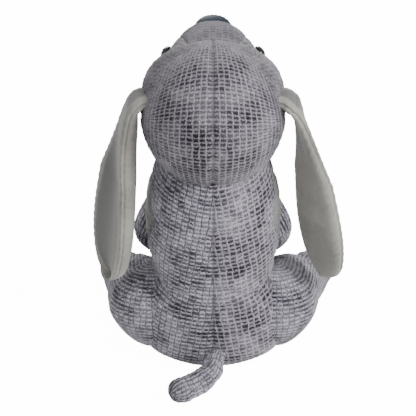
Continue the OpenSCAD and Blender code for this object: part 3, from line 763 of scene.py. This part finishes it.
def arcs(points, axis):
    length = np.linalg.norm(np.diff(points, axis=axis), axis=-1)
    zero = np.zeros((1, points.shape[1])) if axis == 0 else np.zeros((points.shape[0], 1))
    return np.concatenate([zero, np.cumsum(length, axis=axis)], axis=axis)


def cellRelief(u, v):
    across = 1 - np.abs(2 * (u - np.floor(u)) - 1) ** 4
    along = 1 - np.abs(2 * (v - np.floor(v)) - 1) ** 3
    chance = np.sin(np.floor(u) * 12.9898 + np.floor(v) * 78.233) * 43758.5453
    chance = chance - np.floor(chance)
    return (across * along - 0.55) * (0.7 + 0.6 * chance)


def clothPiece(name, tube, r, c, seams, look, bodyName, node, outward, uv=None, relief=None, pad=0.85,
               ease=1.0):
    points = surface(tube, r, c)
    normal, flip = gridNormals(points, outward)
    over, down = arcs(points, 1), arcs(points, 0)
    edge = np.full(r.shape, 1e3)
    runs = {
        "left": (over, down), "right": (over[:, -1:] - over, down),
        "top": (down, over), "bottom": (down[-1:] - down, over),
    }
    lift = np.zeros(r.shape)
    for side in seams:
        away, run = runs[side]
        edge = np.minimum(edge, away)
        ripple = np.sin(run * 2 * np.pi / seam["puckerPitch"] + 1.7 * np.sin(run / 11.0))
        lift += seam["pucker"] * ripple * np.exp(-away / 5.0) * (1 - np.exp(-away / 1.2))
    lift -= seam["depth"] * (1 - smooth(0, seam["width"], edge))
    if uv is not None:
        u, v = uv(points, over, down)
        amount = (weave["relief"] if relief is None else relief) * smooth(0, 2.5, edge)
        lift += amount * cellRelief(u, v)
        flat = np.stack([u, v], -1)
    else:
        flat = np.stack([over, down], -1) / 5
    ease = ease * np.ones(r.shape)
    points = points + normal * (lift * ease)[..., None]
    turn = normal * (seam["turnIn"] * ease)[..., None]
    # the cloth turns in along each seam
    for side in seams:
        if side == "left":
            points = np.concatenate([points[:, :1] - turn[:, :1], points], 1)
            turn = np.concatenate([turn[:, :1], turn], 1)
            flat = np.concatenate([flat[:, :1], flat], 1)
        elif side == "right":
            points = np.concatenate([points, points[:, -1:] - turn[:, -1:]], 1)
            turn = np.concatenate([turn, turn[:, -1:]], 1)
            flat = np.concatenate([flat, flat[:, -1:]], 1)
        elif side == "top":
            points = np.concatenate([points[:1] - turn[:1], points], 0)
            turn = np.concatenate([turn[:1], turn], 0)
            flat = np.concatenate([flat[:1], flat], 0)
        else:
            points = np.concatenate([points, points[-1:] - turn[-1:]], 0)
            turn = np.concatenate([turn, turn[-1:]], 0)
            flat = np.concatenate([flat, flat[-1:]], 0)
    faces = gridFaces(points.shape[0], points.shape[1], not flip)
    made = makeMesh(name, points.reshape(-1, 3), faces, flat.reshape(-1, 2))
    return place(made, bodyName, look, node, pad)


def fineCount(length):
    return max(4, int(length / weave["fineStep"]))


def patch(rowLow, rowHigh, columnLow, columnHigh, rows, columns):
    t, w = np.meshgrid(np.linspace(0, 1, rows), np.linspace(0, 1, columns), indexing="ij")
    return t, w, between(rowLow, rowHigh, t), between(columnLow, columnHigh, w)


def awayFrom(centre):
    return lambda point: point - centre


simulate()


def makeTorso():
    print("body")
    tube = tubes["torso"]
    tilt = 9
    middle = np.array([0, -4, 80.0])

    def backUv(fromSeamRight):
        def uv(points, over, down):
            u = over[:, -1:] - over if fromSeamRight else over
            v = down[:, -1:] if fromSeamRight else down[:, :1]
            turned = u * cosd(tilt) + v * sind(tilt)
            rows = v * cosd(tilt) - u * sind(tilt)
            return turned / weave["across"] + 40, rows / weave["along"] + 40
        return uv

    for name, left in (("back_panel_left", True), ("back_panel_right", False)):
        t, w = np.meshgrid(np.linspace(0, body["neckIn"], fineCount(178)), np.linspace(0, 1, fineCount(100)),
                           indexing="ij")
        edge = sideSeam(t)
        angle = between(edge, 90, w) if left else between(90, 180 - edge, w)
        look = "body" if left else "rump"
        clothPiece(name, tube, t * 34, angle / 6, ("left", "right", "top"), look, "torso", name,
                   awayFrom(middle), uv=backUv(left), pad=0.9)
    t, w = np.meshgrid(np.linspace(0, body["neckIn"], 110), np.linspace(0, 1, 90), indexing="ij")
    edge = sideSeam(t)
    clothPiece("belly_panel", tube, t * 34, between(180 - edge, 360 + edge, w) / 6,
               ("left", "right", "top"), "belly", "torso", "belly_panel", awayFrom(middle), pad=0.9)
    # seat
    radius, level = np.meshgrid(np.linspace(0.02, 1, 24), np.linspace(0, 360, 97), indexing="ij")
    reach = body["baseWidth"] / 2 - 0.2
    dip = 1.3 * smooth(0.94, 1, radius)
    seatPoints = stack(reach * radius * cosd(level), reach * radius * sind(level), 0.0 + dip)
    seatMesh = makeMesh("seat_panel", seatPoints.reshape(-1, 3), gridFaces(24, 97, True),
                        (seatPoints[..., :2] / 5).reshape(-1, 2))
    place(seatMesh, "torso", "belly", "seat_panel", 0.9)


def makeHead():
    print("head")
    tube = tubes["head"]

    def gore(left):
        def uv(points, over, down):
            a = np.degrees(np.arctan2(points[..., 2] - headCentre[2], points[..., 1] - headCentre[1]))
            narrow = np.maximum(0.45, cosd(0.66 * (a - 8)))
            u = (over if left else over[:, -1:] - over) / narrow
            v = down[:, :1] if left else down[:, -1:]
            v = v + 0.0016 * u**2
            return u / weave["across"] + 60, v / weave["along"]
        return uv

    def flatUv(points, over, down):
        half = points.shape[1] // 2
        return (over - over[:, half:half + 1]) / weave["across"] + 50.5, (down + 0 * over) / weave["along"]

    h = head
    pieces = [
        ("head_panel_left", h["nape"] - 360, h["brow"], 0, h["earPole"], 170, 84, gore(True), "head"),
        ("head_panel_right", h["nape"] - 360, h["brow"], -h["earPole"], 0, 170, 84, gore(False), "head"),
        ("cheek_panel_left", h["brow"], h["throat"], h["muzzleHalf"], h["earPole"], 130, 72, flatUv, "head"),
        ("cheek_panel_right", h["brow"], h["throat"], -h["earPole"], -h["muzzleHalf"], 130, 72, flatUv,
        "head"),
        ("muzzle_top_panel", h["brow"], 182, -h["muzzleHalf"], h["muzzleHalf"], 96, 60, flatUv, "muzzle"),
        ("chin_panel", 182, h["throat"], -h["muzzleHalf"], h["muzzleHalf"], 50, 40, None, "belly"),
        ("head_base_panel", h["throat"], h["nape"], -h["earPole"], h["earPole"], 76, 170, flatUv, "head"),
    ]
    for name, a0, a1, b0, b1, long, wide, uv, look in pieces:
        t, w = np.meshgrid(np.linspace(0, 1, fineCount(long)), np.linspace(0, 1, fineCount(wide)),
            indexing="ij")
        a, b = between(a0, a1, t), between(b0, b1, w)
        clothPiece(name, tube, (b + 90) / 5, (a % 360) / 5, ("left", "right", "top", "bottom"), look,
            "head", name,
                   awayFrom(headCentre), uv=uv, pad=0.9)
    for side in (1, -1):
        # the cloth gathered under an ear's root
        b, a = np.meshgrid(np.linspace(h["earPole"] - 0.5, 90, 8), np.linspace(0, 360, 49), indexing="ij")
        points = headPoint(a, side * b, 1.0)
        made = makeMesh("ear_seat_" + ("left" if side > 0 else "right"), points.reshape(-1, 3),
                        gridFaces(8, 49, side > 0), (points[..., 1:] / 5).reshape(-1, 2))
        place(made, "head", "head", None, 0.9)


def limbUv(knots):
    points = spline(knots, np.linspace(0, 1, 60))[:, :3]
    length = np.linalg.norm(np.diff(points, axis=0), axis=1).sum()

    def uv(q, p):
        cap = np.where(q < 0, 90 * q, np.where(q > 1, 90 * (q - 1), 0))
        r = spline(knots, np.clip(q, 0, 1))[..., 3]
        up = np.arcsin(np.clip(sind(p) * cosd(cap), -1, 1))
        turn = np.arctan2(sind(cap), np.maximum(np.abs(cosd(p) * cosd(cap)), 1e-6))
        u = length * np.clip(q, 0, 1) + r * turn
        return u / weave["across"] + 80, r * up / weave["along"] + 80
    return uv


def makeLimbs():
    print("legs and tail")
    for sideName, side in (("left", 1), ("right", -1)):
        for kind, knots, reach, around, padEdge in (
            ("hind", hindKnots(side), 150, 112, 1.31), ("front", frontKnots(side), 170, 58, 1.31),
        ):
            tube = tubes[f"{kind}_{sideName}"]
            bodyName = f"{kind}_leg_{sideName}"
            flatUv = limbUv(knots)
            centre = spline(knots, 0.5)[:3]
            for part, low, high in (("outer", -90, 90), ("inner", 90, 270)):
                if side < 0:
                    low, high = (90, 270) if part == "outer" else (-90, 90)
                t, w = np.meshgrid(np.linspace(0, 1, fineCount(reach)), np.linspace(0, 1, fineCount(around)),
                                   indexing="ij")
                # even steps along the limb's length: the cap first, then the rest
                q = np.interp(t, [0, 0.36, 0.86, 1] if kind == "hind" else [0, 0.12, 0.93, 1],
                    [-1, 0, 1, padEdge])
                p = between(low, high, w)
                plain = kind == "front" and part == "inner"
                clothPiece(f"{kind}_leg_{part}_{sideName}", tube, rowOf(kind, q), (p % 360) / 15,
                           ("left", "right", "bottom"), "belly" if plain else "body", bodyName,
                           f"{kind}_leg_{part}_{sideName}", awayFrom(centre),
                           uv=None if plain else (lambda points, over, down, q=q, p=p: flatUv(q, p)),
                           pad=0.85)
            t, w = np.meshgrid(np.linspace(0, 1, 26), np.linspace(0, 1, 73), indexing="ij")
            q = between(padEdge, 2, t)
            name = ("foot_pad_" if kind == "hind" else "front_paw_pad_") + sideName
            clothPiece(name, tube, rowOf(kind, q), (360 * w) / 15 % 24, ("top",), "suede", bodyName, name,
                       awayFrom(centre), pad=0.85)
    knots = tailKnots()
    flatUv = limbUv(knots)
    tube = tubes["tail"]
    for name, low, high in (("tail_upper_panel", 0, 180), ("tail_lower_panel", 180, 360)):
        t, w = np.meshgrid(np.linspace(0, 1, 76), np.linspace(0, 1, 36), indexing="ij")
        q = np.interp(t, [0, 0.16, 0.8, 1], [-0.9, 0, 1, 1.98])
        p = between(low, high, w)
        clothPiece(name, tube, rowOf("tail", q), p / 15 % 24, ("left", "right"), "body", "tail", name,
                   awayFrom(spline(knots, 0.5)[:3]),
                   uv=lambda points, over, down, q=q,
                   p=p: (flatUv(q, p)[0], p * 0.0175 * 10 / weave["along"] + 80),
                   pad=0.85)


def makeEars():
    print("ears")
    for sideName, side in (("left", 1), ("right", -1)):
        tube = tubes["ear_" + sideName]
        for part, low in (("outer", -90), ("inner", 90)):
            t, w = np.meshgrid(np.linspace(0, 1, 180), np.linspace(0, 1, 90), indexing="ij")
            # even steps down the ear, closer together round its tip
            tipStart = 1 - ear["tipShare"]
            s = np.where(t < 0.93, between(-ear["rootShare"], tipStart, t / 0.93),
                         tipStart + ear["tipShare"] * sind(89 * np.clip((t - 0.93) / 0.07, 0, 1)))
            r = (s + ear["rootShare"]) / (1 + ear["rootShare"]) * 30
            face = low + 180 * w + 6 * sind(360 * w)
            sign = side if part == "outer" else -side
            # the outer panels take the suede with painted shade on their faces
            clothPiece(f"ear_{part}_{sideName}", tube, r, (face + 90) / 10 % 36, ("left", "right"),
                       "suedePaintedShade" if part == "outer" else "suede",
                       "ear_" + sideName, f"ear_{part}_{sideName}",
                       lambda point, sign=sign: np.array([sign * 1.0, 0, 0.0]), pad=0.5,
                       uv=lambda points, over, down: (np.minimum(over, over[:, -1:] - over) / 5, down / 5),
                       relief=0,
                       ease=1.3 * (1 - smooth(0.84, 0.95, s)))


makeTorso()
makeHead()
makeLimbs()
makeEars()


# Filling, pellets, threads, nose and eyes
def ringBag(name, rings, bodyName, look, node, pad=0.8, lump=0.5):
    rows, columns = rings.shape[:2]
    points = np.concatenate([rings.reshape(-1, 3), [rings[0].mean(0), rings[-1].mean(0)]])
    wave = np.sin(points[:, :1] * 0.9) + np.sin(points[:, 1:2] * 1.1 + 1) + np.sin(points[:, 2:] * 0.8 + 2)
    middle = points.mean(0)
    points = points - unit(points - middle) * lump * (0.5 + wave / 6)
    faces = fanFaces(0, rows - 1, columns, rows * columns, rows * columns + 1)
    mesh = bpy.data.meshes.new(name)
    mesh.from_pydata((points * mm).tolist(), [], faces)
    mesh.polygons.foreach_set("use_smooth", np.ones(len(faces), bool))
    mesh.update()
    made = bpy.data.objects.new(name, mesh)
    bpy.context.scene.collection.objects.link(made)
    return place(made, bodyName, look, node, pad)


def makeFilling():
    print("filling")
    angle = np.linspace(0, 360, 73)[:-1]
    inset = 4.5
    rings = [torsoPoint(angle, np.full(72, z), inset, 0) for z in np.linspace(33, 158, 30)]
    for q in (0.94, 0.75, 0.5, 0.25, 0.08):
        r = q * (body["neckWidth"] / 2 - inset)
        z = -math.sqrt((headGapRadius + 2.5) ** 2 - r**2)
        rings.append(headCentre + stack(r * cosd(angle), r * sind(angle), z))
    ringBag("body_stuffing", np.array(rings), "torso", "filling", "body_stuffing", lump=0.8)
    rings = [torsoPoint(angle, np.full(72, z), 4.2 + extra, 0) for z, extra in
             ((3, 4), (4, 1.5), (7, 0), (15, 0), (24, 0), (29, 1.2), (31, 4))]
    ringBag("pellet_bag", np.array(rings), "torso", "pellets", "pellet_bag", lump=0.9)
    b, a = np.meshgrid(np.linspace(-84, 84, 40), np.linspace(0, 360, 73)[:-1], indexing="ij")
    ringBag("head_stuffing", headPoint(a, b, 6.2), "head", "filling", "head_stuffing", lump=0.6)
    for sideName, side in (("left", 1), ("right", -1)):
        for kind, point in (
            ("hind", lambda q, p: hindPoint(side, q, p, 4.2)),
            ("front", lambda q, p: limbPoint(frontKnots(side), q, p, 4.0)),
        ):
            q, p = np.meshgrid(np.linspace(-0.95, 1.95, 44), np.linspace(0, 360, 49)[:-1], indexing="ij")
            node = f"{kind}_leg_stuffing_{sideName}"
            ringBag(node, point(q, p), f"{kind}_leg_{sideName}", "filling", node)
        s, f = np.meshgrid(np.linspace(0.0, 0.97, 40), np.linspace(-90, 270, 41)[:-1], indexing="ij")
        ringBag("ear_wadding_" + sideName, earPoint(side, s, f, 2.4), "ear_" + sideName, "filling",
                "ear_wadding_" + sideName, lump=0.2)
    q, p = np.meshgrid(np.linspace(-0.9, 1.9, 24), np.linspace(0, 360, 33)[:-1], indexing="ij")
    ringBag("tail_stuffing", limbPoint(tailKnots(), q, p, 3.2), "tail", "filling", "tail_stuffing", lump=0.3)


def threadMesh(name, lines, radius, bodyName, look, node=None):
    points, faces = [], []
    sides = 8
    for line in lines:
        line = np.asarray(line, float)
        along = unit(np.gradient(line, axis=0))
        helper = np.where(np.abs(along[:, :1]) > 0.8, [[0, 0, 1.0]], [[1.0, 0, 0]])
        side = unit(np.cross(along, helper))
        up = np.cross(along, side)
        start = len(points)
        count = len(line)
        for i in range(count):
            thin = math.sqrt(max(0.15, 1 - (2 * i / (count - 1) - 1) ** 6))
            for k in range(sides):
                angle = 2 * math.pi * k / sides
                points.append(line[i] + (side[i] * math.cos(angle) + up[i] * math.sin(angle)) * radius * thin)
        for i in range(count - 1):
            for k in range(sides):
                a, b = start + i * sides + k, start + i * sides + (k + 1) % sides
                faces.append((a, b, b + sides, a + sides))
    made = makeMesh(name, np.array(points), faces)
    return place(made, bodyName, look, node)


def stitches(point, count, lift, low):
    lines = []
    for i in range(count):
        t = np.linspace(i + 0.12, i + 0.88, 7) / count
        rise = lift * np.sin(np.linspace(0, np.pi, 7)) - low
        lines.append(point(t, rise))
    return lines


def makeThreads():
    print("threads")
    h = head

    def backSeam(t, rise):
        z = between(36, rimZ() - 3, t)
        tube = tubes["torso"]
        points = surface(tube, z / rimZ() * 34, np.full(t.shape, 15.0))
        return points + stack(0 * t, rise - 0.2, 0 * t)

    threadMesh("back_seam_stitching", stitches(backSeam, 42, 0.7, seam["depth"]), 0.32, "torso", "thread",
               "back_seam_stitching")

    def headSeam(t, rise):
        a = between(-32, h["brow"] - 2, t)
        points = surface(tubes["head"], np.full(t.shape, 18.0), (a % 360) / 5)
        return points + unit(points - headCentre) * (rise - 0.2)[..., None]

    threadMesh("head_seam_stitching", stitches(headSeam, 48, 0.7, seam["depth"]), 0.32, "head", "thread",
               "head_seam_stitching")
    lines = []
    for i in range(44):
        low = i * 360 / 44
        angle = np.linspace(low, low + 5.4, 6)
        radius = body["neckWidth"] / 2 + 0.5
        lines.append(stack(radius * cosd(angle), radius * sind(angle) - body["neckLean"],
                           rimZ() + np.linspace(-0.7, 1.0, 6)))
    threadMesh("neck_stitching", lines, 0.45, "neck", "thread", "neck_stitching")
    i = np.linspace(-8, 8, 60)
    mouth = surface(tubes["head"], (i * 1.8 + 90) / 5, (188 + 8 * np.sin(np.radians(np.abs(i) * 22.5))) / 5)
    threadMesh("mouth_stitching", [mouth + unit(mouth - headCentre) * 0.4], 0.75, "head", "darkThread",
               "mouth_stitching")


nose = dict(a=163, rise=9, width=32, height=0.8, stitch=0.16)


def makeNose():
    print("nose and eyes")
    halfB = math.degrees(math.atan2(nose["width"] / 2, head["muzzleLength"]))
    halfA = halfB * nose["height"]

    def dome(lift, shrink, rows, columns, ridge):
        q, p = np.meshgrid(np.linspace(0.03, 1, rows), np.linspace(0, 360, columns), indexing="ij")
        rise = nose["rise"] * np.sqrt(np.maximum(0, 1 - q**2.2)) + lift
        rise = rise + ridge * np.sin(q * cosd(p) * 34) * (1 - q**6)
        inner = q * shrink
        a, b = nose["a"] + halfA * inner * sind(p), halfB * inner * cosd(p)
        points = surface(tubes["head"], (b + 90) / 5, a / 5)
        return points + headWay(a, b) * rise[..., None]

    points = dome(0.0, 1.0, 40, 121, nose["stitch"])
    made = makeMesh("nose_cover", points.reshape(-1, 3), gridFaces(40, 121, False),
        (points[..., ::2] / 5).reshape(-1, 2))
    place(made, "head", "nose", "nose_cover", 0.9)
    points = dome(-2.0, 0.86, 16, 49, 0)
    made = makeMesh("nose_wadding", points.reshape(-1, 3), gridFaces(16, 49, False))
    place(made, "head", "filling", "nose_wadding", 0.8)
    for sideName in ("left", "right"):
        for node, look in (("eye_", "eyes"), ("eye_washer_", "washers")):
            thing = frame["nodes"][node + sideName]
            thing.data.materials.clear()
            thing.data.materials.append(looks[look])
            thing.data.polygons.foreach_set("use_smooth", np.ones(len(thing.data.polygons), bool))
            thing.data.set_sharp_from_angle(angle=math.radians(40))


makeFilling()
makeThreads()
makeNose()

# Stage, light and camera
print("stage")
studio = dict(floorGlow=14.0, world=0.5, worldSeen=14.0, key=18, keySize=0.5, fill=4, front=11)
floorMaterial, floorTree, floorShader = newMaterial("paleFloor", 0.9)
floorShader.inputs["Base Color"].default_value = (0.95, 0.95, 0.95, 1)
floorShader.inputs["Emission Color"].default_value = (1, 1, 1, 1)
seen = shaderNode(floorTree, "ShaderNodeLightPath").outputs["Is Camera Ray"]
floorTree.links.new(maths(floorTree, "MULTIPLY", seen, studio["floorGlow"]),
    floorShader.inputs["Emission Strength"])
floorMesh = bpy.data.meshes.new("floor")
floorMesh.from_pydata([(-30, -30, -0.0003), (30, -30, -0.0003), (30, 30, -0.0003), (-30, 30, -0.0003)], [],
                      [(0, 1, 2, 3)])
floor = bpy.data.objects.new("floor", floorMesh)
floor.data.materials.append(floorMaterial)
bpy.context.scene.collection.objects.link(floor)

world = bpy.data.worlds.new("studio")
bpy.context.scene.world = world
world.use_nodes = True
world.node_tree.nodes["Background"].inputs[0].default_value = (1, 1, 1, 1)
worldTree = world.node_tree
seen = shaderNode(worldTree, "ShaderNodeLightPath").outputs["Is Camera Ray"]
strength = maths(worldTree, "MULTIPLY_ADD", seen, studio["worldSeen"], studio["world"])
worldTree.links.new(strength, worldTree.nodes["Background"].inputs[1])


def areaLight(name, at, aim, size, power):
    data = bpy.data.lights.new(name, "AREA")
    data.shape = "DISK"
    data.size = size
    data.energy = power
    made = bpy.data.objects.new(name, data)
    bpy.context.scene.collection.objects.link(made)
    made.location = at
    way = np.array(aim) - np.array(at)
    made.rotation_mode = "QUATERNION"
    made.rotation_quaternion = Vector(way).to_track_quat("-Z", "Y")


areaLight("key", (-0.85, 0.5, 0.95), (0, 0, 0.1), studio["keySize"], studio["key"])
areaLight("front", (0.3, -1.3, 0.7), (0, 0, 0.1), 1.0, studio["front"])
areaLight("fill", (0.1, 0.6, 1.3), (0, 0, 0.1), 0.8, studio["fill"])

elevation, distance, aim = 35, 1.3, np.array([0, -0.006, 0.110])
cameraData = bpy.data.cameras.new("camera")
cameraData.lens = 144.72
cameraData.sensor_width = 36
cameraData.shift_x = -0.012
cameraData.shift_y = 0.0232
camera = bpy.data.objects.new("camera", cameraData)
bpy.context.scene.collection.objects.link(camera)
camera.location = aim + distance * np.array([0, cosd(elevation), sind(elevation)])
camera.rotation_euler = (math.radians(90 - elevation), 0, math.radians(180))
cameraData.clip_start = 0.05
bpy.context.scene.camera = camera
